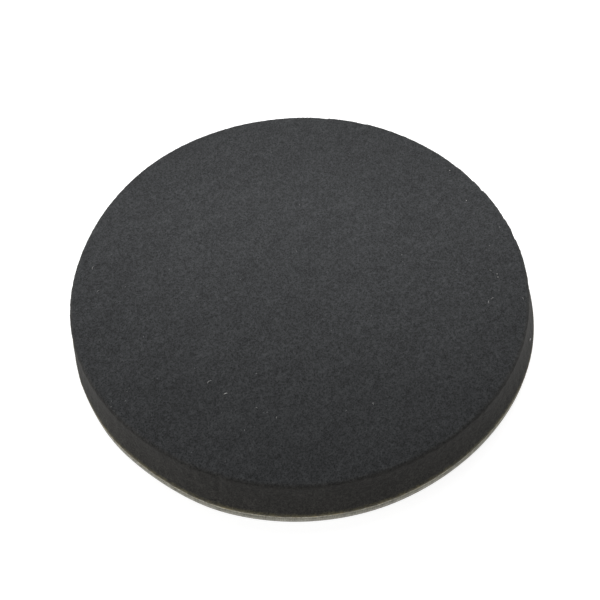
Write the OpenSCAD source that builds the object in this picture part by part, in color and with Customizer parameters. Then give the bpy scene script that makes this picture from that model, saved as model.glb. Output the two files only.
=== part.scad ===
// Round foam polishing pad with a hook-and-loop backing.
// Four layers lie on one another, from the loop face up: loop pile, knitted cloth, adhesive film, foam.
// The origin is the centre of the loop face, and +Z points to the working face. All sizes are in mm.

/* [Pad] */
// Diameter of the pad where it meets the machine's backing plate
pad_d = 150; // [75:1:200]

/* [Foam disc] */
// Height of the foam, from the adhesive to the working face
foam_h = 12.4; // [6:0.1:40]
// How far the cut wall leans out from the working face down to the foot
foam_flare = 3; // [2:0.1:6]
// How deep the leaning wall is hollowed at mid height
foam_hollow = 0.35; // [0.05:0.05:0.6]
// Radius of the soft edge round the working face
foam_edge_r = 1.2; // [0.3:0.1:3]

/* [Adhesive film] */
// Thickness of the hot-melt film that joins foam and cloth
film_t = 0.3; // [0.1:0.05:1]

/* [Loop backing] */
// Thickness of the knitted cloth that carries the loops
cloth_t = 0.8; // [0.3:0.1:2]
// Height of the loops, down to the face that grips the hooks
pile_h = 2.4; // [0.8:0.1:4]

/* [Hidden] */
$fn = 180;

// Every layer is cut in the same stroke, so all of them share the pad's radius at the foot
pad_r = pad_d / 2;

// Heights of the faces where one layer ends and the next begins
cloth_z = pile_h;
film_z = cloth_z + cloth_t;
foam_z = film_z + film_t;

// The foam wall leans out below the soft edge and ends at the foot, hollowed along one large arc
neck_r = pad_r - foam_flare;
wall_h = foam_h - foam_edge_r;
wall_slant = norm([foam_flare, wall_h]);
hollow_arc_r = (pow(wall_slant / 2, 2) + pow(foam_hollow, 2)) / (2 * foam_hollow);
hollow_offset = hollow_arc_r - foam_hollow;

// A flat round layer of thickness t with its lower face at height z
module layer(z, t) {
  translate([0, 0, z])
    cylinder(r = pad_r, h = t);
}

// Half section of the foam core with a quarter circle at its upper outer corner
module core_section() {
  square([neck_r, wall_h]);
  square([neck_r - foam_edge_r, foam_h]);
  translate([neck_r - foam_edge_r, wall_h])
    intersection() {
      circle(r = foam_edge_r);
      square(foam_edge_r);
    }
}

// Half section of the leaning wall: a wedge with one large arc taken out of its slanted side
module flare_section() {
  translate([neck_r, 0])
    difference() {
      polygon([[0, 0], [foam_flare, 0], [0, wall_h]]);
      translate([foam_flare / 2, wall_h / 2] + [wall_h, foam_flare] * hollow_offset / wall_slant)
        circle(r = hollow_arc_r);
    }
}

// Die-cut disc of fine-cell polyurethane foam, the part that carries the polish
module foam_disc() {
  color("#3c3d3e")
    translate([0, 0, foam_z])
      rotate_extrude() {
        core_section();
        flare_section();
      }
}

// Hot-melt film over the whole joint, seen from outside as a thin amber line
module adhesive_film() {
  color("#a08a5a")
    layer(film_z, film_t);
}

// Knitted polyester ground that holds the roots of the loops
module backing_cloth() {
  color("#8f8c84")
    layer(cloth_z, cloth_t);
}

// Brushed loops, drawn as the solid space that they fill
module loop_pile() {
  color("#a3a09a")
    layer(0, pile_h);
}

foam_disc();
adhesive_film();
backing_cloth();
loop_pile();
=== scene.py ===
# Round foam polishing pad with a hook-and-loop backing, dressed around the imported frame
import math
import bpy
import numpy as np
from mathutils import Matrix, Vector


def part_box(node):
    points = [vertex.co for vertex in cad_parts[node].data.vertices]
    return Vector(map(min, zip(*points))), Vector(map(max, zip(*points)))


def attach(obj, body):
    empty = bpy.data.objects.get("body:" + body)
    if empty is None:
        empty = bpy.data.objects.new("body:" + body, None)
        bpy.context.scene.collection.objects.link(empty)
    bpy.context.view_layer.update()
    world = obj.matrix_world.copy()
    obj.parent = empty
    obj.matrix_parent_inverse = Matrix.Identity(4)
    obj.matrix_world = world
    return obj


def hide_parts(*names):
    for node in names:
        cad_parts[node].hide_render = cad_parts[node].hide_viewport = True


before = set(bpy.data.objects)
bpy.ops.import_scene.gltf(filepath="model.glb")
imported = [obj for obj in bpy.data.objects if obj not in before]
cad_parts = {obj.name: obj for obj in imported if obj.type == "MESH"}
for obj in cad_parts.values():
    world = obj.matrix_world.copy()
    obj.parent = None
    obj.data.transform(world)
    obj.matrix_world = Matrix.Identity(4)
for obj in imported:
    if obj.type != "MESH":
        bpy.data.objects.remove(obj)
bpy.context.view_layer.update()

mm = 0.001
fullTurn = 2 * math.pi

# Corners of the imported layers, in m, and the pad's radius in mm
foamLow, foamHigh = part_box("foam_disc")
filmLow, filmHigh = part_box("adhesive_film")
clothLow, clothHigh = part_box("backing_cloth")
padRadius = foamHigh.x / mm


# Camera and lights

cameraSettings = {
    "elevation": 54.5,  # degrees above the horizon
    "roll": -2.6,  # degrees
    "distance": 300,  # mm from the point looked at
    "aim": (-0.2, 1.3, 0.4),  # mm, beside the pad's axis
    "lens": 54.2,  # mm on a 36 mm sensor
}


def placeCamera(s):
    tilt, roll = math.radians(s["elevation"]), math.radians(s["roll"])
    forward = Vector((0, math.cos(tilt), -math.sin(tilt)))
    level = Vector((1, 0, 0))
    upright = level.cross(forward)
    right = level * math.cos(roll) + upright * math.sin(roll)
    up = upright * math.cos(roll) - level * math.sin(roll)
    place = Vector(s["aim"]) * mm - forward * s["distance"] * mm
    camera = bpy.data.objects.new("studioCamera", bpy.data.cameras.new("studioCamera"))
    camera.data.lens = s["lens"]
    camera.data.clip_start = 0.01
    camera.matrix_world = Matrix.Translation(place) @ Matrix((right, up, -forward)).transposed().to_4x4()
    bpy.context.collection.objects.link(camera)
    bpy.context.scene.camera = camera


lightSettings = {
    # name: place and the point aimed at, in m, width and depth in m, watts
    "stripSoftbox": ((0, 0.02, 0.08), (0, 0.02, 0), (0.30, 0.05), 0.09),
    "topSoftbox": ((0, 0.075, 0.18), (0, 0.075, 0), (0.15, 0.15), 0.345),
    "leftSoftbox": ((-0.5, 0, 0.9), (0, 0, 0), (0.6, 0.6), 0.5),
    "frontLeftSoftbox": ((-0.55, -0.24, 0.20), (0, 0, 0), (0.4, 0.25), 1.35),
    "rightSoftbox": ((0.6, -0.16, 0.20), (0, 0, 0), (0.4, 0.25), 0.58),
}
roomLight = 0.3
floorGlow = 0.78  # the ground is lit from below, as a light table is, so it stays white round the pad


def placeLights(lights):
    for name, (place, aim, (width, depth), watts) in lights.items():
        lamp = bpy.data.lights.new(name, "AREA")
        lamp.shape = "RECTANGLE"
        lamp.size = width
        lamp.size_y = depth
        lamp.energy = watts
        holder = bpy.data.objects.new(name, lamp)
        holder.location = place
        holder.rotation_euler = (Vector(aim) - Vector(place)).to_track_quat("-Z", "Y").to_euler()
        holder.visible_camera = False
        bpy.context.collection.objects.link(holder)
    world = bpy.data.worlds.new("paleRoom")
    world.use_nodes = True
    world.node_tree.nodes["Background"].inputs["Strength"].default_value = roomLight
    world.node_tree.nodes["Background"].inputs["Color"].default_value = (1, 1, 1, 1)
    bpy.context.scene.world = world


bpy.context.scene.view_settings.view_transform = "Standard"
placeCamera(cameraSettings)
placeLights(lightSettings)
print("camera and lights placed")


# Helpers for materials

def linear(hexColour):
    # sRGB hex to the linear colour that a shader takes
    parts = [int(hexColour[i:i + 2], 16) / 255 for i in (1, 3, 5)]
    return [p / 12.92 if p <= 0.04045 else ((p + 0.055) / 1.055) ** 2.4 for p in parts] + [1]


def addNode(tree, kind, settings=None, links=None):
    # settings and links name an input, or give its number; other settings are the node's own properties
    node = tree.nodes.new(kind)
    for name, value in (settings or {}).items():
        if isinstance(name, str) and name not in node.inputs:
            setattr(node, name, value)
    for name, value in (settings or {}).items():
        if not isinstance(name, str) or name in node.inputs:
            node.inputs[name].default_value = value
    for name, source in (links or {}).items():
        tree.links.new(source, node.inputs[name])
    return node


def newMaterial(name):
    material = bpy.data.materials.new(name)
    material.use_nodes = True
    material.node_tree.nodes.clear()
    return material, material.node_tree


def perMetre(size):
    # texture scale that makes one feature about this many mm wide
    return 1 / (size * mm)


# Helpers for shapes

def ripple(x, y, wavelength, seed, waves=28):
    # sum of plane waves with random headings and phases, each near the wavelength asked for; its spread is 1
    rng = np.random.default_rng(seed)
    total = np.zeros_like(x, dtype=float)
    for _ in range(waves):
        heading, phase = rng.uniform(0, fullTurn, 2)
        length = wavelength * rng.uniform(0.75, 1.35)
        total += np.cos(fullTurn * (x * math.cos(heading) + y * math.sin(heading)) / length + phase)
    return total * math.sqrt(2 / waves)


def smooth(low, high, value):
    # 0 below low, 1 above high, and an S-shaped rise between them
    t = np.clip((value - low) / (high - low), 0, 1)
    return t * t * (3 - 2 * t)


def bentSquare(rings):
    # square grid bent into a disc: a point's ring is the larger of its two distances from the middle, and its
    # angle grows evenly along each side of that ring
    steps = np.arange(-rings, rings + 1)
    across, along = np.meshgrid(steps, steps, indexing="ij")
    ring = np.maximum(abs(across), abs(along))
    wide = abs(across) >= abs(along)
    over = np.where(wide, across, along)
    over = np.where(over == 0, 1, over)
    angle = np.where(wide, along / over, 2 - across / over) * math.pi / 4 + np.where(over < 0, math.pi, 0)
    return ring, angle


def gridFaces(rows, columns):
    index = np.arange(rows * columns).reshape(rows, columns)
    return np.stack([index[:-1, :-1], index[1:, :-1], index[1:, 1:], index[:-1, 1:]], -1).reshape(-1, 4)


def lathe(radii, heights, angles):
    # profile rows carried round the axis; the first and last rows are closed with a point on the axis.
    # radii and heights are arrays of row by angle, and rows run from the top down
    rows, columns = radii.shape
    rim = np.stack([radii * np.cos(angles), radii * np.sin(angles), heights], -1).reshape(-1, 3)
    ends = np.array([[0, 0, heights[0].mean()], [0, 0, heights[-1].mean()]])
    index = np.arange(rows * columns).reshape(rows, columns)
    after = np.roll(index, -1, axis=1)
    quads = np.stack([index[:-1], index[1:], after[1:], after[:-1]], -1).reshape(-1, 4)
    cap = np.stack([np.full(columns, rows * columns), index[0], after[0]], -1)
    floorCap = np.stack([np.full(columns, rows * columns + 1), after[-1], index[-1]], -1)
    return np.concatenate([rim, ends]), [quads, np.concatenate([cap, floorCap])]


def makePiece(name, points, faceSets, material, attributes=None):
    # points in mm; faceSets are arrays of corner numbers, one array for each face size
    mesh = bpy.data.meshes.new(name)
    corners = np.concatenate([f.ravel() for f in faceSets])
    sizes = np.concatenate([np.full(len(f), f.shape[1]) for f in faceSets])
    mesh.vertices.add(len(points))
    mesh.vertices.foreach_set("co", (points * mm).astype(np.float32).ravel())
    mesh.loops.add(len(corners))
    mesh.loops.foreach_set("vertex_index", corners.astype(np.int32))
    mesh.polygons.add(len(sizes))
    mesh.polygons.foreach_set("loop_start", (np.cumsum(sizes) - sizes).astype(np.int32))
    mesh.polygons.foreach_set("use_smooth", np.ones(len(sizes), bool))
    mesh.update(calc_edges=True)
    for key, values in (attributes or {}).items():
        layer = mesh.attributes.new(key, "FLOAT", "POINT")
        layer.data.foreach_set("value", values.astype(np.float32).ravel())
    mesh.materials.append(material)
    piece = bpy.data.objects.new(name, mesh)
    bpy.context.collection.objects.link(piece)
    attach(piece, "root")
    return piece


def angleGap(angle, degrees):
    # signed angle from a place on the rim, between minus and plus half a turn
    return (angle - math.radians(degrees) + math.pi) % fullTurn - math.pi


# Every layer is cut in one stroke, so all share this outline: mm to add to the radius, by angle.
# The blade is slack, so the disc is not quite round, and the face is cut a little askew of the foot.
footWaves = [
    # waves per turn, mm, angle in degrees where it stands out most
    (2, 0.32, 99),
    (3, 0.32, -3),
    (5, 0.19, -18),
    (6, 0.11, 15),
]
faceWaves = [
    (1, 0.36, 167),
    (2, 0.34, 12),
    (3, 0.41, 73),
]
footBulges = [
    # degrees round the pad, half width in degrees, mm that it stands out
    (339, 15, 0.50),
    (286, 12, 0.20),
    (248, 8, 0.25),
    (220, 8, 0.30),
    (195, 5, -0.30),
]


def swell(angle, waves):
    return sum(size * np.cos(count * (angle - math.radians(peak))) for count, size, peak in waves)


def bulge(angle):
    # bell-shaped swellings where the foot was squeezed out under the blade
    return sum(size * np.exp(-(angleGap(angle, place) / math.radians(width)) ** 2)
               for place, width, size in footBulges)


def outline(angle):
    return swell(angle, footWaves) + bulge(angle)


clothOverhang = 0.08  # mm that the cloth stands out past the foam, which draws in under the blade


def clothEdge(angle):
    return padRadius + outline(angle) + clothOverhang


# Foam disc

foamSettings = {
    "lean": 2.8,  # mm that the wall leans out on its way down
    "hollow": 0.42,  # mm
    "edgeRadius": 1.3,  # mm
    "topRings": 118,
    "edgeRings": 6,
    "wallRings": 20,
    "unevenness": 0.10,  # mm, slow waves in the sliced face
    "sliceMarks": 0.03,  # mm, faint ridges that the slicing knife leaves
    "sliceHeading": 40,  # degrees
    "cellRelief": 0.035,  # mm, the broken cell walls
    "drawMarks": 0.03,  # mm, upright ripples that the cutting blade leaves on the wall
    "unevenLength": 26,  # mm from wave to wave
    "sliceLength": 5.0,  # mm from ridge to ridge
    "drawLength": 3.2,  # mm from ripple to ripple
    "seed": 11,
}

# Places where the blade caught and skipped on the soft edge: degrees round the pad, width and depth in mm
bladeSkips = [
    (79.7, 3.0, 0.30),
    (68.5, 2.6, 0.34),
    (51.0, 2.0, 0.16),
    (47.4, 1.6, 0.12),
    (38.2, 1.8, 0.16),
    (31.4, 3.2, 0.30),
    (27.2, 2.0, 0.52),
    (16.0, 2.2, 0.26),
    (8.8, 1.7, 0.36),
]

# The blade's start and stop mark on the wall
cutMark = {
    "angle": 249.8,  # degrees round the pad
    "width": 0.85,  # mm
    "depth": 0.36,  # mm
    "low": 4.6,  # mm above the floor, where it ends
}


def foamProfile(s):
    # radius and height of each ring, in mm: flat face, most of a quarter circle, then a wall that leans out
    # by a straight line less a parabola, and starts at the slope where the quarter circle stops
    neck = padRadius - s["lean"]
    top, foot = foamHigh.z / mm, foamLow.z / mm
    shoulder = math.pi / 2 - math.atan2(s["lean"] - 4 * s["hollow"], top - s["edgeRadius"] - foot)
    face = np.linspace(0, neck - s["edgeRadius"], s["topRings"] + 1)
    turn = np.linspace(0, shoulder, s["edgeRings"] + 1)[1:]
    fall = np.linspace(0, 1, s["wallRings"] + 1)[1:]
    wallTop = top - s["edgeRadius"] * (1 - math.cos(shoulder))
    radius = [face, neck - s["edgeRadius"] * (1 - np.sin(turn)),
              neck + s["lean"] * fall - s["hollow"] * 4 * fall * (1 - fall)]
    height = [np.full_like(face, top), top - s["edgeRadius"] * (1 - np.cos(turn)),
              wallTop - (wallTop - foot) * fall]
    return np.concatenate(radius), np.concatenate(height)


def notchedEdge(radius, angle, rise):
    # blade skips: a sharp step in, then a slow return. They fade down the upper half of the wall, and inwards
    # over the outermost tenth of the face
    reach = smooth(0.45, 0.90, rise) * smooth(0.90, 0.945, radius / padRadius)
    for place, width, depth in bladeSkips:
        along = angleGap(angle, place) * padRadius / width
        radius = radius - depth * reach * smooth(-0.12, 0.12, along) * np.exp(-np.clip(along, 0, None))
    return radius


def cutGroove(angle, height):
    # start and stop mark: a narrow bell-shaped groove that ends above the foot
    across = angleGap(angle, cutMark["angle"]) * padRadius / cutMark["width"]
    return cutMark["depth"] * np.exp(-across ** 2) * smooth(cutMark["low"] - 1, cutMark["low"] + 1, height)


def buildFoam(s):
    # disc on a bent square grid: its rings follow the profile, stretched to the outline, and the cell relief
    # lifts the face and pushes the wall in and out
    rings = s["topRings"] + s["edgeRings"] + s["wallRings"]
    ring, angle = bentSquare(rings)
    radius, height = (values[ring] for values in foamProfile(s))
    wallShare = smooth(s["topRings"] - 1, s["topRings"] + s["edgeRings"], ring)
    footShare = smooth(rings - 3, rings, ring)
    rise = (height - foamLow.z / mm) / (foamHigh.z - foamLow.z) * mm
    stretch = outline(angle) + (swell(angle, faceWaves) - bulge(angle)) * rise
    radius = notchedEdge(radius * (1 + stretch / padRadius), angle, rise)
    radius = radius - cutGroove(angle, height) * wallShare
    x, y = radius * np.cos(angle), radius * np.sin(angle)
    cells = np.random.default_rng(s["seed"]).normal(0, s["cellRelief"], ring.shape)
    heading = math.radians(s["sliceHeading"])
    across = y * math.cos(heading) - x * math.sin(heading)
    along = x * math.cos(heading) + y * math.sin(heading)
    # the knife's ridges and the blade's ripples are drawn out along the way that each one went
    ridges = s["sliceMarks"] * ripple(across, along * 0.12, s["sliceLength"], s["seed"] + 1)
    waves = s["unevenness"] * ripple(x, y, s["unevenLength"], s["seed"] + 2)
    ripples = s["drawMarks"] * ripple(angle * padRadius, height * 0.15, s["drawLength"], s["seed"] + 3)
    height = height + (waves + ridges + cells) * (1 - wallShare)
    roughened = 1 + (cells + ripples) * wallShare * (1 - footShare) / padRadius
    points = np.stack([x * roughened, y * roughened, height], -1).reshape(-1, 3)
    side = 2 * rings + 1
    index = np.arange(side * side).reshape(side, side)
    border = np.concatenate([index[:-1, 0], index[-1, :-1], index[:0:-1, -1], index[0, :0:-1]])
    points = np.concatenate([points, [[0, 0, foamLow.z / mm]]])
    underside = np.stack([np.roll(border, -1), border, np.full_like(border, side * side)], -1)
    return points, [gridFaces(side, side), underside], {"cutFace": np.append(wallShare, 1)}


foamFinish = {
    "face": "#252627",
    # painted shade: the cut wall's colour is warmer and darker than the face, as warm bounce light and shade
    # tint it
    "cutWall": "#242321",
    "paintedEdgeHighlight": 0.28,  # share of brightness that the rounded edge gains, as a painted highlight
    "cellSize": 0.42,  # mm, real cells are 0.25 mm, too fine to show
    "cellSwing": 0.52,  # how far a cell's tone swings either way
    "hollowing": 0.35,  # how far it swings from the middle of a cell to its struts
    "blotches": [
        # mm across, how far the tone swings either way, how many times longer along the knife's path
        (0.9, 0.14, 1),
        (2.2, 0.09, 1),
        (5.0, 0.05, 2),
        (13.0, 0.05, 3),
    ],
    "uprightStreaks": 0.10,  # how far their tone swings either way
    "streakWidth": 1.2,  # mm
    "streakStretch": 8,  # times longer than wide
    "wallTone": (1.14, 0.78),  # painted shade: brightness at the foot of the wall and at its top
    "specks": [
        # mm between dots, mm across a dot, brightness gained by the brightest, mm that the pattern is moved
        (2.4, 0.42, 2.6, 0),  # pale grit of broken cell walls
        (4.2, 0.62, -0.55, 50),  # pinholes, where a bubble was cut through
    ],
    "glueSoak": 1.3,  # mm up the wall
    "glueStain": "#464230",
    "gluePatch": 1.4,  # mm
    "bumpSize": 0.6,  # mm
    "bumpDepth": 0.12,  # mm
}


def foamGrain(tree, place, s):
    # brightness of the foam's grain: cells, each a dark hollow ringed by paler struts, under softer blotches
    heading = (0, 0, math.radians(foamSettings["sliceHeading"]))
    cells = addNode(tree, "ShaderNodeTexVoronoi", {"Scale": perMetre(s["cellSize"])}, {"Vector": place})
    tone = addNode(tree, "ShaderNodeMapRange", {"To Min": 1 - s["cellSwing"], "To Max": 1 + s["cellSwing"]},
                   {"Value": cells.outputs["Color"]}).outputs[0]
    strut = addNode(tree, "ShaderNodeMapRange",
                    {"From Min": 0.15, "From Max": 0.6, "To Min": 1 - s["hollowing"],
                     "To Max": 1 + s["hollowing"]}, {"Value": cells.outputs["Distance"]}).outputs[0]
    tone = addNode(tree, "ShaderNodeMath", {"operation": "MULTIPLY"}, {0: tone, 1: strut}).outputs[0]
    for size, swing, stretch in s["blotches"]:
        drawn = addNode(tree, "ShaderNodeMapping",
                        {"vector_type": "TEXTURE", "Rotation": heading, "Scale": (stretch, 1, 1)},
                        {"Vector": place}).outputs[0]
        noise = addNode(tree, "ShaderNodeTexNoise", {"Scale": perMetre(size), "Detail": 1}, {"Vector": drawn})
        part = addNode(tree, "ShaderNodeMapRange",
                       {"From Min": 0.3, "From Max": 0.7, "To Min": 1 - swing, "To Max": 1 + swing},
                       {"Value": noise.outputs["Fac"]}).outputs[0]
        tone = addNode(tree, "ShaderNodeMath", {"operation": "MULTIPLY"}, {0: tone, 1: part}).outputs[0]
    return tone


def wallShade(tree, place, height, cut, tone, s):
    # on the cut wall only: upright streaks, and painted shade that makes the wall lighter at the foot, where
    # it leans out most, and darker at its top
    upright = addNode(tree, "ShaderNodeMapping",
                      {"vector_type": "TEXTURE", "Scale": (1, 1, s["streakStretch"])},
                      {"Vector": place}).outputs[0]
    noise = addNode(tree, "ShaderNodeTexNoise", {"Scale": perMetre(s["streakWidth"]), "Detail": 1},
                    {"Vector": upright}).outputs["Fac"]
    streaks = addNode(tree, "ShaderNodeMapRange",
                      {"From Min": 0.3, "From Max": 0.7, "To Min": 1 - s["uprightStreaks"],
                       "To Max": 1 + s["uprightStreaks"]}, {"Value": noise}).outputs[0]
    paintedWallShade = addNode(tree, "ShaderNodeMapRange",
                   {"From Min": foamLow.z, "From Max": foamHigh.z, "To Min": s["wallTone"][0],
                    "To Max": s["wallTone"][1]}, {"Value": height}).outputs[0]
    for change in (streaks, paintedWallShade):
        part = addNode(tree, "ShaderNodeMix", {2: 1.0}, {0: cut, 3: change}).outputs[0]
        tone = addNode(tree, "ShaderNodeMath", {"operation": "MULTIPLY"}, {0: tone, 1: part}).outputs[0]
    # Painted highlight along the rounded edge: paler, most of all half way between the face and the wall
    uncut = addNode(tree, "ShaderNodeMath", {"operation": "SUBTRACT", 0: 1.0}, {1: cut}).outputs[0]
    edgeHighlightBand = addNode(tree, "ShaderNodeMath", {"operation": "MULTIPLY"}, {0: cut, 1: uncut}).outputs[0]
    part = addNode(tree, "ShaderNodeMath", {"operation": "MULTIPLY_ADD", 1: 4 * s["paintedEdgeHighlight"], 2: 1.0},
                   {0: edgeHighlightBand}).outputs[0]
    return addNode(tree, "ShaderNodeMath", {"operation": "MULTIPLY"}, {0: tone, 1: part}).outputs[0]


def foamSpecks(tree, place, tone, s):
    # dots scattered at random, few of them strong: the cube of a random number sets how much each one shows
    for pitch, across, gain, shift in s["specks"]:
        moved = addNode(tree, "ShaderNodeMapping", {"Location": (shift * mm, 0, 0)},
                        {"Vector": place}).outputs[0]
        dots = addNode(tree, "ShaderNodeTexVoronoi", {"Scale": perMetre(pitch)}, {"Vector": moved})
        inside = addNode(tree, "ShaderNodeMapRange",
                         {"From Min": across / pitch / 2, "From Max": across / pitch / 5},
                         {"Value": dots.outputs["Distance"]}).outputs[0]
        chance = addNode(tree, "ShaderNodeMath", {"operation": "POWER", 1: 3.0},
                         {0: dots.outputs["Color"]}).outputs[0]
        shown = addNode(tree, "ShaderNodeMath", {"operation": "MULTIPLY"}, {0: inside, 1: chance}).outputs[0]
        part = addNode(tree, "ShaderNodeMath", {"operation": "MULTIPLY_ADD", 1: gain, 2: 1.0},
                       {0: shown}).outputs[0]
        tone = addNode(tree, "ShaderNodeMath", {"operation": "MULTIPLY"}, {0: tone, 1: part}).outputs[0]
    return tone


def gluedBase(tree, place, height, cut, s):
    # dye of the face, and the cut wall painted a shade warmer and darker than it as painted shade and warm
    # bounce light; glue has crept up the foot, further in some places than in others
    dyeAndWallShade = addNode(tree, "ShaderNodeMix",
                  {"data_type": "RGBA", 6: linear(s["face"]), 7: linear(s["cutWall"])}, {0: cut}).outputs[2]
    low = addNode(tree, "ShaderNodeMapRange",
                  {"From Min": foamLow.z + s["glueSoak"] * mm, "From Max": foamLow.z},
                  {"Value": height}).outputs[0]
    patchy = addNode(tree, "ShaderNodeTexNoise", {"Scale": perMetre(s["gluePatch"]), "Detail": 2},
                     {"Vector": place}).outputs["Fac"]
    creep = addNode(tree, "ShaderNodeMapRange", {"From Min": 0.35, "From Max": 0.6, "To Min": 0.35},
                    {"Value": patchy}).outputs[0]
    soaked = addNode(tree, "ShaderNodeMath", {"operation": "MULTIPLY"}, {0: low, 1: creep}).outputs[0]
    return addNode(tree, "ShaderNodeMix", {"data_type": "RGBA", 7: linear(s["glueStain"])},
                   {0: soaked, 6: dyeAndWallShade}).outputs[2]


def finePolyurethaneFoam(s):
    # Fine-cell polyurethane foam, dyed charcoal in the block and sliced with a knife: no gloss at all, a
    # dusty grain of open cells, and a die-cut wall painted a shade warmer and darker than the face as painted
    # shade
    material, tree = newMaterial("finePolyurethaneFoam")
    place = addNode(tree, "ShaderNodeTexCoord").outputs["Object"]
    height = addNode(tree, "ShaderNodeSeparateXYZ", links={0: place}).outputs["Z"]
    cut = addNode(tree, "ShaderNodeAttribute", {"attribute_name": "cutFace"}).outputs["Fac"]
    tone = foamGrain(tree, place, s)
    tone = wallShade(tree, place, height, cut, tone, s)
    tone = foamSpecks(tree, place, tone, s)
    base = gluedBase(tree, place, height, cut, s)
    colour = addNode(tree, "ShaderNodeVectorMath", {"operation": "SCALE"},
                     {0: base, "Scale": tone}).outputs[0]
    grain = addNode(tree, "ShaderNodeTexNoise", {"Scale": perMetre(s["bumpSize"]), "Detail": 2},
                    {"Vector": place}).outputs["Fac"]
    bump = addNode(tree, "ShaderNodeBump", {"Strength": 0.5, "Distance": s["bumpDepth"] * mm},
                   {"Height": grain}).outputs[0]
    shader = addNode(tree, "ShaderNodeBsdfPrincipled",
                     {"Roughness": 0.92, "Specular IOR Level": 0.12, "Sheen Weight": 0.05,
                      "Sheen Roughness": 0.6},
                     {"Base Color": colour, "Normal": bump})
    addNode(tree, "ShaderNodeOutputMaterial", links={"Surface": shader.outputs[0]})
    return material


foamPoints, foamFaces, foamAttributes = buildFoam(foamSettings)
foamPad = makePiece("foamPad", foamPoints, foamFaces, finePolyurethaneFoam(foamFinish), foamAttributes)
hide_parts("foam_disc")
print("foam disc made:", len(foamPoints), "points")


# Lint on the working face: fibres and crumbs that stick to the open cells
lintFibres = [
    # X, Y, length in mm, heading in degrees, bend in mm, brightness up to 1, mm below the face
    (-23.0, -42.0, 1.2, 15, 0.05, 1.0, 0),
    (-27.8, -37.8, 1.7, 35, 0.25, 0.6, 0),
    (-14.0, -47.0, 0.7, 140, 0.10, 0.4, 0),
    (-11.0, -48.7, 0.5, 10, 0.05, 0.4, 0),
    (-8.3, -50.5, 0.8, 80, 0.15, 0.4, 0),
    (-14.0, -35.7, 0.4, 0, 0.05, 0.4, 0),
    (11.6, -49.3, 0.5, 20, 0.05, 0.4, 0),
    (19.5, -47.4, 0.8, 95, 0.15, 0.5, 0),
    (-51.2, -38.7, 0.6, 40, 0.05, 0.3, 0),
    (-51.8, -39.8, 0.4, 0, 0.05, 0.3, 0),
    (-52.0, -43.0, 0.6, 30, 0.10, 0.3, 0),
    (-56.0, -42.7, 0.4, 90, 0.05, 0.3, 0),
    (-56.0, -44.6, 0.5, 60, 0.05, 0.4, 0),
    (-66.0, 6.5, 1.6, 75, 0.40, 0.3, 0),
    (-63.6, -3.0, 1.2, 50, 0.30, 0.3, 0),
    (58.0, -13.8, 1.2, 80, 0.20, 0.4, 0),
    (59.3, -12.5, 1.1, 35, 0.10, 0.4, 0),
    (60.4, -1.6, 0.9, 150, 0.10, 0.3, 0),
    (62.2, -3.2, 0.5, 90, 0.00, 0.6, 0),
    (62.3, -4.5, 0.6, 90, 0.05, 0.6, 0),
    (53.3, 42.0, 0.4, 0, 0.00, 0.8, 0),
    (57.0, 28.0, 0.4, 90, 0.00, 0.8, 0),
    (66.2, 15.8, 0.4, 0, 0.00, 0.5, 0),
    (61.6, 8.3, 0.4, 30, 0.00, 0.4, 0),
    (33.2, 6.2, 0.6, 60, 0.05, 0.4, 0),
    (33.2, 3.3, 0.4, 90, 0.05, 0.3, 0),
    (68.7, -13.0, 0.8, 110, 0.10, 0.4, 0),
    (69.6, -25.1, 1.0, 60, 0.10, 1.0, 5),
]
lintSettings = {
    "strayFibres": 24,  # more of them, fainter, scattered at random
    "strayLength": (0.25, 0.7),  # mm
    "strayBrightness": (0.05, 0.3),
    "radius": (0.04, 0.10),  # mm, for the faintest and the brightest, thicker than real so that they show
    "steps": 7,
    "sides": 4,
    "rise": 0.10,  # mm above the face at mid length
    "seed": 61,
}


def buildLint(s):
    # each fibre is a parabola lying on the face, lifted a little at its middle, and carried by a thin section
    # that narrows to nearly nothing at both ends
    rng = np.random.default_rng(s["seed"])
    count = s["strayFibres"]
    reach = padRadius * 0.9 * np.sqrt(rng.uniform(0, 1, count))
    bearing = rng.uniform(0, fullTurn, count)
    stray = np.stack([reach * np.cos(bearing), reach * np.sin(bearing), rng.uniform(*s["strayLength"], count),
                      rng.uniform(0, 360, count), rng.normal(0, 0.1, count),
                      rng.uniform(*s["strayBrightness"], count), np.zeros(count)], -1)
    x, y, length, heading, bend, bright, drop = np.concatenate([lintFibres, stray]).T[:, :, None]
    t = np.linspace(-1, 1, s["steps"])
    cosH, sinH = np.cos(np.radians(heading)), np.sin(np.radians(heading))
    arch = 1 - t * t + 0 * x
    along, aside = length / 2 * t, bend * arch
    thick = s["radius"][0] + (s["radius"][1] - s["radius"][0]) * bright
    path = np.stack([x + along * cosH - aside * sinH, y + along * sinH + aside * cosH,
                     foamHigh.z / mm - drop + thick + s["rise"] * arch], -1)
    turn = np.arange(s["sides"]) * fullTurn / s["sides"]
    thick = (thick * np.sqrt(np.clip(arch, 0.02, 1)))[:, :, None]
    ring = np.stack([-sinH[..., None] * np.cos(turn) * thick, cosH[..., None] * np.cos(turn) * thick,
                     np.sin(turn) * thick], -1)
    index = np.arange(len(x) * s["steps"] * s["sides"]).reshape(len(x), s["steps"], s["sides"])
    after = np.roll(index, -1, axis=2)
    quads = np.stack([index[:, :-1], after[:, :-1], after[:, 1:], index[:, 1:]], -1).reshape(-1, 4)
    ends = np.concatenate([index[:, 0, ::-1], index[:, -1]])
    tone = np.broadcast_to(bright[..., None], index.shape)
    return (path[:, :, None] + ring).reshape(-1, 3), [quads, ends], {"lintTone": tone}


lintFinish = {"faint": "#3c3d3f", "bright": "#b4b4b2"}


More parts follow.
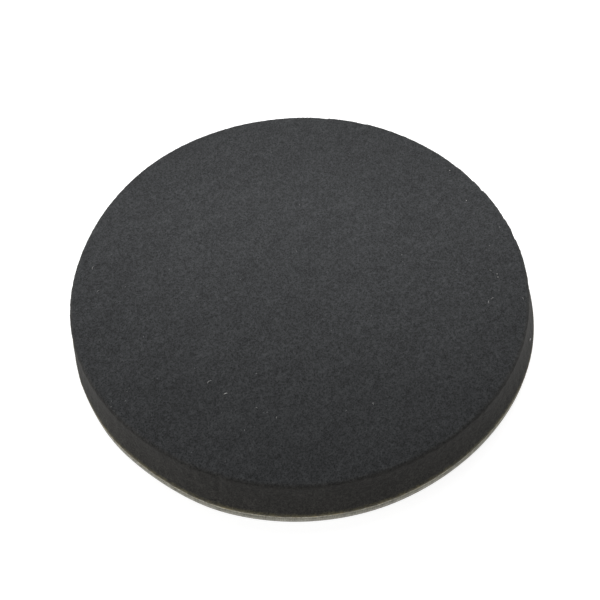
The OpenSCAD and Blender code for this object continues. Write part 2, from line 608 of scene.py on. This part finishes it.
def polyesterLint(s):
    # Melt-spun polyester filament, shed by loop cloth: pale grey with a slight gloss, so each one reads as a
    # tiny bright fleck
    material, tree = newMaterial("polyesterLint")
    tone = addNode(tree, "ShaderNodeAttribute", {"attribute_name": "lintTone"}).outputs["Fac"]
    colour = addNode(tree, "ShaderNodeMix",
                     {"data_type": "RGBA", 6: linear(s["faint"]), 7: linear(s["bright"])},
                     {0: tone}).outputs[2]
    shader = addNode(tree, "ShaderNodeBsdfPrincipled", {"Roughness": 0.5, "IOR": 1.54, "Sheen Weight": 0.1},
                     {"Base Color": colour})
    addNode(tree, "ShaderNodeOutputMaterial", links={"Surface": shader.outputs[0]})
    return material


lintPoints, lintFaces, lintTones = buildLint(lintSettings)
lint = makePiece("surfaceLint", lintPoints, lintFaces, polyesterLint(lintFinish), lintTones)
print("lint scattered:", len(lintPoints), "points")


# Adhesive film

filmSettings = {
    "columns": 960,
    "squeeze": 0.08,  # mm, how far beads of glue stand out past the cut edge
    "rag": 0.14,  # mm, how far the glue wanders up and down
    "beadLengths": (5, 1.6),  # mm from bead to bead, coarse and fine
    "heaviestAt": 235,  # degrees round the pad
    "seed": 21,
}


def buildFilm(s):
    # flat disc with a rim of half-round beads: radius and height wander with noise along the edge
    angles = np.linspace(0, fullTurn, s["columns"], endpoint=False)
    x, y = padRadius * np.cos(angles), padRadius * np.sin(angles)
    coarse, fine = (ripple(x, y, length, s["seed"] + n) for n, length in enumerate(s["beadLengths"]))
    bead = 0.5 + 0.5 * np.tanh(1.5 * coarse + 0.6 * fine)
    heavy = 0.55 + 0.45 * np.cos(angles - math.radians(s["heaviestAt"]))
    stand = s["squeeze"] * bead * heavy
    low, high = filmLow.z / mm, filmHigh.z / mm
    ragUp = s["rag"] * bead * heavy
    edge = padRadius + outline(angles)
    inner = [padRadius * 0.5, padRadius - 2]
    rim = np.linspace(0, math.pi, 7)
    radii = [np.full_like(angles, r) for r in inner]
    radii += [edge - 0.1 + (0.1 + stand) * math.sin(t) for t in rim]
    radii += [np.full_like(angles, r) for r in inner[::-1]]
    middle, half = (low + high) / 2, (high - low) / 2
    heights = [np.full_like(angles, high)] * 2
    heights += [middle + (half + ragUp) * math.cos(t) for t in rim]
    heights += [np.full_like(angles, low)] * 2
    return lathe(np.array(radii), np.array(heights), angles)


filmFinish = {"dusty": "#3d3723", "clean": "#7b6f4b", "patch": 2.5}  # patch in mm


def hotMeltAdhesive(s):
    # Hot-melt adhesive film, pressed between hot rolls and cut cold: a thin olive-brown line with a dull
    # shine, darker where foam dust stuck to it
    material, tree = newMaterial("hotMeltAdhesive")
    place = addNode(tree, "ShaderNodeTexCoord").outputs["Object"]
    patches = addNode(tree, "ShaderNodeTexNoise",
                      {"Scale": perMetre(s["patch"]), "Detail": 3.0, "Roughness": 0.6},
                      {"Vector": place}).outputs["Fac"]
    share = addNode(tree, "ShaderNodeMapRange", {"From Min": 0.4, "From Max": 0.6},
                    {"Value": patches}).outputs[0]
    colour = addNode(tree, "ShaderNodeMix",
                     {"data_type": "RGBA", 6: linear(s["dusty"]), 7: linear(s["clean"])},
                     {0: share}).outputs[2]
    bump = addNode(tree, "ShaderNodeBump", {"Strength": 0.4, "Distance": 0.1 * mm},
                   {"Height": patches}).outputs[0]
    shader = addNode(tree, "ShaderNodeBsdfPrincipled", {"Roughness": 0.45, "IOR": 1.49},
                     {"Base Color": colour, "Normal": bump})
    addNode(tree, "ShaderNodeOutputMaterial", links={"Surface": shader.outputs[0]})
    return material


filmPoints, filmFaces = buildFilm(filmSettings)
glueFilm = makePiece("glueFilm", filmPoints, filmFaces, hotMeltAdhesive(filmFinish))
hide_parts("adhesive_film")
print("adhesive film made")


# Knitted backing cloth

clothSettings = {
    "columns": 1200,
    "rings": 46,
    "walePitch": 1.3,  # mm between the knitted ribs
    "waleHeight": 0.10,  # mm
    "fray": 0.05,  # mm, how unevenly the yarns were cut
    "rounding": 0.15,  # mm
    "seed": 31,
}


def buildCloth(s):
    # thin disc whose underside is ribbed along Y; the cut edge is rounded and frayed by noise
    angles = np.linspace(0, fullTurn, s["columns"], endpoint=False)
    low, high = clothLow.z / mm, clothHigh.z / mm
    edge = clothEdge(angles)
    rng = np.random.default_rng(s["seed"])
    under = np.linspace(1, 0.02, s["rings"])[:, None] * (edge - 0.35)
    x, y = under * np.cos(angles), under * np.sin(angles)
    ribs = s["waleHeight"] * (0.5 + 0.5 * np.cos(fullTurn * x / s["walePitch"]))
    ribs = ribs * (0.75 + 0.25 * np.cos(fullTurn * y / (s["walePitch"] * 0.8)))
    side = np.linspace(0, math.pi, 6)[:, None]
    frayed = rng.normal(0, s["fray"], (len(side), s["columns"])) * np.sin(side)
    rimRadius = edge - s["rounding"] * (1 - np.sin(side)) + frayed - 2 * s["fray"]
    rimHeight = (low + high) / 2 + (high - low) / 2 * np.cos(side) + 0 * angles
    flat = np.full((1, s["columns"]), padRadius * 0.5)
    radii = np.concatenate([flat, rimRadius, under[1:]])
    heights = np.concatenate([np.full_like(flat, high), rimHeight, (low + ribs)[1:]])
    return lathe(radii, heights, angles)


clothFinish = {
    "darkYarn": "#7a776b",
    "paleYarn": "#b5b2a2",
    "stroke": 0.55,  # mm, drawn coarser than the real 0.02 mm filaments so that it shows
    "strokeStretch": 4,  # times longer than wide
    "soil": 6,  # mm
    "soilTone": 0.8,  # brightness of the dirtiest patches
}


def knittedPolyester(s):
    # Warp-knitted polyester ground, undyed and a little soiled: matt grey-beige yarn, ribbed every 1.3 mm,
    # that shows as upright strokes where the cut edge is seen end on
    material, tree = newMaterial("knittedPolyester")
    place = addNode(tree, "ShaderNodeTexCoord").outputs["Object"]
    upright = addNode(tree, "ShaderNodeMapping",
                      {"vector_type": "TEXTURE", "Scale": (1, 1, s["strokeStretch"])},
                      {"Vector": place}).outputs[0]
    strokes = addNode(tree, "ShaderNodeTexNoise",
                      {"Scale": perMetre(s["stroke"]), "Detail": 2.0, "Roughness": 0.6},
                      {"Vector": upright}).outputs["Fac"]
    share = addNode(tree, "ShaderNodeMapRange", {"From Min": 0.35, "From Max": 0.65},
                    {"Value": strokes}).outputs[0]
    yarn = addNode(tree, "ShaderNodeMix",
                   {"data_type": "RGBA", 6: linear(s["darkYarn"]), 7: linear(s["paleYarn"])},
                   {0: share}).outputs[2]
    soil = addNode(tree, "ShaderNodeTexNoise",
                   {"Scale": perMetre(s["soil"]), "Detail": 3.0, "Roughness": 0.55},
                   {"Vector": place}).outputs["Fac"]
    dirt = addNode(tree, "ShaderNodeMapRange",
                   {"From Min": 0.35, "From Max": 0.7, "To Min": 1.0, "To Max": s["soilTone"]},
                   {"Value": soil}).outputs[0]
    colour = addNode(tree, "ShaderNodeVectorMath", {"operation": "SCALE"},
                     {0: yarn, "Scale": dirt}).outputs[0]
    bump = addNode(tree, "ShaderNodeBump", {"Strength": 0.7, "Distance": 0.15 * mm},
                   {"Height": strokes}).outputs[0]
    shader = addNode(tree, "ShaderNodeBsdfPrincipled",
                     {"Roughness": 0.85, "IOR": 1.54, "Specular IOR Level": 0.3, "Sheen Weight": 0.25,
                      "Sheen Roughness": 0.5},
                     {"Base Color": colour, "Normal": bump})
    addNode(tree, "ShaderNodeOutputMaterial", links={"Surface": shader.outputs[0]})
    return material


clothPoints, clothFaces = buildCloth(clothSettings)
knitCloth = makePiece("knitCloth", clothPoints, clothFaces, knittedPolyester(clothFinish))
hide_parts("backing_cloth")
print("backing cloth made")


# Loop pile

napSettings = {
    "columns": 900,
    "rings": 96,
    "low": 1.0,  # mm above the floor, where the tangle of roots ends
    "rimLow": 0.02,  # mm above the floor, where it ends along the cut edge
    "inset": 0.22,  # mm in from the cut edge, at the cloth
    "splay": 0.18,  # mm that the pressed roots spread outwards on their way down
    "relief": 0.16,  # mm
    "lumpLengths": (2.4, 1.7),  # mm from lump to lump, coarse and fine
    "grooves": 0.05,  # mm, how deep the upright grooves round the edge are
    "dip": (1.8, 0.5),  # mm in from the cut edge, where the underside starts and stops its dip to the floor
    "seed": 51,
}

# Loops in the field lie every way; the fringe is trimmed by the cut and stands upright along the edge
loopSettings = {
    "field": {
        "pitch": 1.12,  # mm
        "span": 1.5,  # mm from root to root
        "yarn": 0.12,  # mm, radius of a bundle of filaments
        "lean": 0.35,  # mm sideways at the bend
        "drift": 0.30,  # mm forward at the bend
        "lift": (0.02, 0.45),  # mm, least and most height of the bend above the floor
        "rootSeed": 40,
        "seed": 41,
    },
    "fringe": {
        "pitch": 0.27,
        "rows": (0.12, 0.36, 0.75),  # mm in from the cut edge
        "span": 0.55,
        "yarn": 0.11,
        "lean": 0.03,
        "drift": 0.08,
        "lift": (0.00, 0.07),
        "rootSeed": 45,
        "seed": 46,
    },
}
loopSteps = 6
loopSides = 3
loopsPerPiece = 5000


def buildNap(s):
    # thick disc under the cloth: its underside is lumpy by two sums of waves and dips to the floor near the
    # rim, and upright grooves of random depth run round its edge
    angles = np.linspace(0, fullTurn, s["columns"], endpoint=False)
    high = clothLow.z / mm
    edge = clothEdge(angles) - s["inset"]
    under = np.linspace(0.999, 0.02, s["rings"])[:, None] * (edge + s["splay"])
    x, y = under * np.cos(angles), under * np.sin(angles)
    coarse, fine = (ripple(x, y, length, s["seed"] + n) for n, length in enumerate(s["lumpLengths"]))
    lumps = np.maximum(s["low"] + s["relief"] * (0.6 * coarse + 0.5 * fine), 0.15)
    lumps = lumps + (s["rimLow"] - lumps) * smooth(edge - s["dip"][0], edge - s["dip"][1], under)
    grooves = s["grooves"] * np.random.default_rng(s["seed"]).normal(0, 1, s["columns"])
    side = np.linspace(0, 1, 5)[:, None]
    rimRadius = edge + s["splay"] * side ** 2 + grooves * np.sin(math.pi * side)
    rimHeight = high - (high - s["rimLow"]) * side + 0 * angles
    flat = np.full((1, s["columns"]), padRadius * 0.5)
    radii = np.concatenate([flat, rimRadius, under])
    heights = np.concatenate([np.full_like(flat, high), rimHeight, lumps])
    return lathe(radii, heights, angles)


def fieldRoots(s, inset):
    # a square grid across the disc, shaken a little, with headings at random
    rng = np.random.default_rng(s["rootSeed"])
    line = np.arange(-padRadius, padRadius + s["pitch"], s["pitch"])
    x, y = (a.ravel() + rng.normal(0, 0.22 * s["pitch"], a.size) for a in np.meshgrid(line, line))
    inside = np.hypot(x, y) < clothEdge(np.arctan2(y, x)) - inset
    return x[inside], y[inside], rng.uniform(0, math.pi, inside.sum())


def fringeRoots(s):
    # rings of loops that follow the cut edge
    rng = np.random.default_rng(s["rootSeed"])
    count = int(fullTurn * padRadius / s["pitch"])
    rows = np.array(s["rows"])[:, None]
    turn = (np.arange(count) + rng.uniform(-0.4, 0.4, (len(rows), count))) * fullTurn / count
    radius = clothEdge(turn) - rows - rng.uniform(0, 0.08, turn.shape)
    heading = turn + math.pi / 2 + rng.normal(0, 0.15, turn.shape) * (1 + rows)
    return (radius * np.cos(turn)).ravel(), (radius * np.sin(turn)).ravel(), heading.ravel()


def buildLoops(x, y, heading, s):
    # each loop is a half ellipse hung from the cloth, pushed sideways and forward where it bends, and carried
    # by a thin section with a few sides
    count = len(x)
    rng = np.random.default_rng(s["seed"])
    root = clothLow.z / mm + 0.15
    depth = (root - s["yarn"] * 1.2 - rng.uniform(*s["lift"], count))[:, None]
    span = (s["span"] * rng.uniform(0.65, 1.2, count))[:, None]
    lean, drift = (rng.normal(0, s[key], count)[:, None] for key in ("lean", "drift"))
    t = np.linspace(0, math.pi, loopSteps + 1)
    forward = -np.cos(t) * span / 2 * (1 + 0.35 * np.sin(t)) + drift * np.sin(t)
    sideways = lean * np.sin(t) ** 2
    cosH, sinH = np.cos(heading)[:, None], np.sin(heading)[:, None]
    path = np.stack([
        x[:, None] + forward * cosH - sideways * sinH,
        y[:, None] + forward * sinH + sideways * cosH,
        root - np.sin(t) ** 0.8 * depth,
    ], -1)
    # keep every loop inside the cut edge
    reach = np.hypot(path[..., 0], path[..., 1])
    limit = clothEdge(np.arctan2(path[..., 1], path[..., 0])) - s["yarn"]
    path[..., :2] *= np.minimum(1, limit / np.maximum(reach, 1e-6))[..., None]
    along = np.gradient(path, axis=1)
    along /= np.linalg.norm(along, axis=-1, keepdims=True)
    across = np.stack([-sinH + 0 * t, cosH + 0 * t, 0 * sinH + 0 * t], -1)
    across = across - along * (across * along).sum(-1, keepdims=True)
    across /= np.linalg.norm(across, axis=-1, keepdims=True)
    third = np.cross(along, across)
    turn = (np.arange(loopSides) * fullTurn / loopSides)[:, None]
    ring = across[:, :, None] * np.cos(turn) + third[:, :, None] * np.sin(turn)
    thick = (s["yarn"] * rng.uniform(0.75, 1.25, count))[:, None, None, None]
    tone = np.broadcast_to(rng.uniform(0, 1, count)[:, None, None], (count, loopSteps + 1, loopSides))
    return path[:, :, None] + thick * ring, tone


def loopFaces(count):
    # quads between neighbouring rings of each loop, and a flat cap at each root
    index = np.arange(count * (loopSteps + 1) * loopSides).reshape(count, loopSteps + 1, loopSides)
    after = np.roll(index, -1, axis=2)
    quads = np.stack([index[:, :-1], after[:, :-1], after[:, 1:], index[:, 1:]], -1).reshape(-1, 4)
    return [quads, np.concatenate([index[:, 0, ::-1], index[:, -1]])]


yarnFinish = {
    "dark": "#908d82",
    "pale": "#aeab9d",
    "floorShadeTone": 0.74,  # brightness of the painted shade on the loop tips next to the floor
    "floorShadeHeights": (0.1, 0.9),  # mm above the floor, where the painted shade on the tips starts to fade and where it ends
    "soil": 5,  # mm
    "soilTone": 0.86,  # brightness of the dirtiest patches
}


def loopYarn(s):
    # Brushed polyester loop yarn, undyed: matt warm grey with a soft sheen, each loop a slightly different
    # shade, and greyer at the tips next to the floor, as painted shade
    material, tree = newMaterial("loopYarn")
    place = addNode(tree, "ShaderNodeTexCoord").outputs["Object"]
    tone = addNode(tree, "ShaderNodeAttribute", {"attribute_name": "loopTone"}).outputs["Fac"]
    yarn = addNode(tree, "ShaderNodeMix", {"data_type": "RGBA", 6: linear(s["dark"]), 7: linear(s["pale"])},
                   {0: tone}).outputs[2]
    height = addNode(tree, "ShaderNodeSeparateXYZ", links={0: place}).outputs["Z"]
    paintedFloorShade = addNode(tree, "ShaderNodeMapRange",
                   {"From Min": s["floorShadeHeights"][0] * mm, "From Max": s["floorShadeHeights"][1] * mm,
                    "To Min": s["floorShadeTone"], "To Max": 1.0}, {"Value": height}).outputs[0]
    patches = addNode(tree, "ShaderNodeTexNoise", {"Scale": perMetre(s["soil"]), "Detail": 3},
                      {"Vector": place}).outputs["Fac"]
    dirt = addNode(tree, "ShaderNodeMapRange",
                   {"From Min": 0.35, "From Max": 0.7, "To Min": 1.0, "To Max": s["soilTone"]},
                   {"Value": patches}).outputs[0]
    floorShadeAndDirt = addNode(tree, "ShaderNodeMath", {"operation": "MULTIPLY"}, {0: paintedFloorShade, 1: dirt}).outputs[0]
    colour = addNode(tree, "ShaderNodeVectorMath", {"operation": "SCALE"},
                     {0: yarn, "Scale": floorShadeAndDirt}).outputs[0]
    shader = addNode(tree, "ShaderNodeBsdfPrincipled",
                     {"Roughness": 0.7, "IOR": 1.54, "Specular IOR Level": 0.3, "Sheen Weight": 0.2,
                      "Sheen Roughness": 0.4},
                     {"Base Color": colour})
    addNode(tree, "ShaderNodeOutputMaterial", links={"Surface": shader.outputs[0]})
    return material


yarnMaterial = loopYarn(yarnFinish)
napPoints, napFaces = buildNap(napSettings)
napTone = {"loopTone": np.full(len(napPoints), 0.3)}
pilePieces = [makePiece("napRoots", napPoints, napFaces, yarnMaterial, napTone)]
fringeDepth = max(loopSettings["fringe"]["rows"]) + 0.5  # mm of the rim that the fringe fills
roots = {
    "field": fieldRoots(loopSettings["field"], fringeDepth),
    "fringe": fringeRoots(loopSettings["fringe"]),
}
for kind, places in roots.items():
    loopPoints, loopTones = buildLoops(*places, loopSettings[kind])
    for number, start in enumerate(range(0, len(loopPoints), loopsPerPiece), 1):
        share = slice(start, start + loopsPerPiece)
        points, tones = loopPoints[share], {"loopTone": loopTones[share]}
        pilePieces.append(makePiece(f"{kind}Loops{number}", points.reshape(-1, 3), loopFaces(len(points)),
                                    yarnMaterial, tones))
    print(kind, "loops made:", len(loopPoints))
for piece in pilePieces:
    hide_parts("loop_pile")


# Floor

def litAcrylic():
    # Opal acrylic sheet, cast smooth and lit from below: it glows more than it reflects, so the pad hardly
    # throws a shadow on it
    material, tree = newMaterial("litAcrylic")
    shader = addNode(tree, "ShaderNodeBsdfPrincipled",
                     {"Base Color": linear("#b4b4b4"), "Roughness": 0.9, "Specular IOR Level": 0.1,
                      "Emission Color": (1, 1, 1, 1), "Emission Strength": floorGlow})
    addNode(tree, "ShaderNodeOutputMaterial", links={"Surface": shader.outputs[0]})
    return material


floorSide = 6000  # mm
floorCorners = np.array([[-1, -1, 0], [1, -1, 0], [1, 1, 0], [-1, 1, 0]]) * floorSide / 2
floorSheet = makePiece("floorSheet", floorCorners, [np.array([[0, 1, 2, 3]])], litAcrylic())
print("floor laid")
